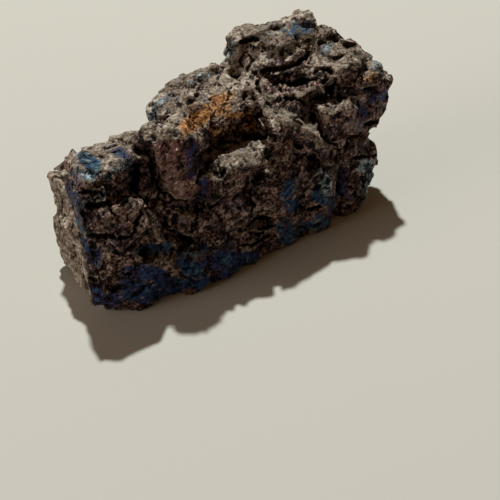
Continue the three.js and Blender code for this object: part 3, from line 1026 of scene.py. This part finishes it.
# %% Lay the layers
COMMON_TONES = {"From_Min": 0.42, "From_Max": 0.58}
CUT_OFF = {"From_Min": 0.25, "From_Max": 0.65}  # the amounts at which a layer begins and is whole

shade = {"tone": tone, "thickness": uneven_film}
from_noise = {"pore": pore, "glint": glint}
uneven = add(bornite, "ShaderNodeMapRange", Value=tone, **COMMON_TONES, To_Min=-1, To_Max=1)
share = {}
for name, (shaded_by, broken_up, stops) in LAYERS.items():
    there = from_noise.get(name)
    if not there:
        there = add(bornite, "ShaderNodeAttribute", {"attribute_name": name}).outputs["Fac"]
    strength = add(bornite, "ShaderNodeMath", {"operation": "MULTIPLY_ADD"},
                   _0=uneven, _1=broken_up, _2=1)
    broken = add(bornite, "ShaderNodeMath", {"operation": "MULTIPLY"}, _0=there, _1=strength)
    share[name] = add(bornite, "ShaderNodeMapRange", {"interpolation_type": "SMOOTHSTEP"}, Value=broken,
                      **CUT_OFF, To_Max=HIDES.get(name, 1.0))
    paint = add(bornite, "ShaderNodeValToRGB", {"stops": stops}, Fac=shade[shaded_by]).outputs["Color"]
    if name == "film":
        paint = add(bornite, "ShaderNodeVectorMath", {"operation": "SCALE"}, _0=paint, _3=film_light)
    colour = add(bornite, "ShaderNodeMix", {"data_type": "RGBA"}, _0=share[name], _6=colour, _7=paint)
print("layers laid:", len(share))

# %% [markdown]
# ## Broken bornite: relief and gloss
#
# Grains too fine for the mesh are bump. Sulphide is half metallic and fairly rough when it is broken
# small, smoother where it is massive, and dull under rust and dust. Its specular level is low all
# over, because a film over dark pores hardly mirrors the bright floor, and the blacks stay black.

# %% Finish the ore
BUMP = {"distance": 0.40, "strength": 0.8, "crystals": -0.5, "specks": 0.6}  # the distance is in mm
ROUGHNESS = {"broken": (0.38, 0.70), "massive": 0.30, "dusty": 0.85}
HALF_METAL = 0.45
SPECULAR = 0.12

relief = add(bornite, "ShaderNodeMath", {"operation": "MULTIPLY_ADD"},
             _0=crystals.outputs["Distance"], _1=BUMP["crystals"], _2=noises["grain"])
relief = add(bornite, "ShaderNodeMath", {"operation": "MULTIPLY_ADD"},
             _0=noises["speck"], _1=BUMP["specks"], _2=relief)
bump = add(bornite, "ShaderNodeBump",
           Height=relief, Strength=BUMP["strength"], Distance=BUMP["distance"] * MM)
dull = add(bornite, "ShaderNodeMath", {"operation": "MAXIMUM"}, _0=share["rust"], _1=share["pale"])
smoothest, roughest = ROUGHNESS["broken"]
broken_rough = add(bornite, "ShaderNodeMapRange", Value=toss, To_Min=smoothest, To_Max=roughest)
smoother = add(bornite, "ShaderNodeMix", _0=share["gloss"], _2=broken_rough, _3=ROUGHNESS["massive"])
rough = add(bornite, "ShaderNodeMix", _0=dull, _2=smoother, _3=ROUGHNESS["dusty"])
metal = add(bornite, "ShaderNodeMapRange", Value=dull, To_Min=HALF_METAL, To_Max=0)
shader = add(bornite, "ShaderNodeBsdfPrincipled", Base_Color=colour.outputs[2], Metallic=metal,
             Roughness=rough, Specular_IOR_Level=SPECULAR, Normal=bump)
add(bornite, "ShaderNodeOutputMaterial", Surface=shader)
ore.data.materials.append(bornite)
print("nodes in the ore's finish:", len(bornite.node_tree.nodes))

# %% [markdown]
# ## Floor
#
# A plain pale card, matt enough that only the shadow shows on it.

# %% Lay the floor
REACH = 2  # m from the middle of the floor to its sides

card = blank("matt white card")
card_shader = add(card, "ShaderNodeBsdfPrincipled", Base_Color=linear("#cfcdc6"), Roughness=0.85)
add(card, "ShaderNodeOutputMaterial", Surface=card_shader)
sheet = bmesh.new()
bmesh.ops.create_grid(sheet, x_segments=1, y_segments=1, size=REACH)
floor_mesh = bpy.data.meshes.new("floor")
sheet.to_mesh(floor_mesh)
sheet.free()
floor = in_scene("floor", floor_mesh)
floor.data.materials.append(card)
print("floor is", 2 * REACH, "m wide")

# %% [markdown]
# ## Light
#
# One small lamp stands high behind the lump, so that its top edges are lit and its broad face stays
# in shade. A wide weak lamp and a warm room fill the shade.

# %% Light it
LIGHTS = {  # where each one stands in metres, its width in metres, its power in watts, and its colour
    "key": ((0.285, 0.705, 1.430), 0.06, 25.0, "#fafdf8"),
    "fill": ((-1.4, 0.1, 0.5), 0.7, 5.6, "#fbf2ea"),
}
ROOM_COLOUR, ROOM_LIGHT = "#ffcb92", 0.085

for name, (spot, width, power, tint) in LIGHTS.items():
    lamp = in_scene(name, bpy.data.lights.new(name, "AREA"))
    lamp.data.energy = power
    lamp.data.size = width
    lamp.data.color = linear(tint)[:3]
    lamp.location = spot
    lamp.rotation_euler = (-Vector(spot)).to_track_quat("-Z", "Y").to_euler()
walls = bpy.data.worlds.new("room")
walls.use_nodes = True
walls.node_tree.nodes["Background"].inputs["Color"].default_value = linear(ROOM_COLOUR)
walls.node_tree.nodes["Background"].inputs["Strength"].default_value = ROOM_LIGHT
bpy.context.scene.world = walls
bpy.context.scene.view_settings.view_transform = "Standard"
print("lamps:", ", ".join(LIGHTS))
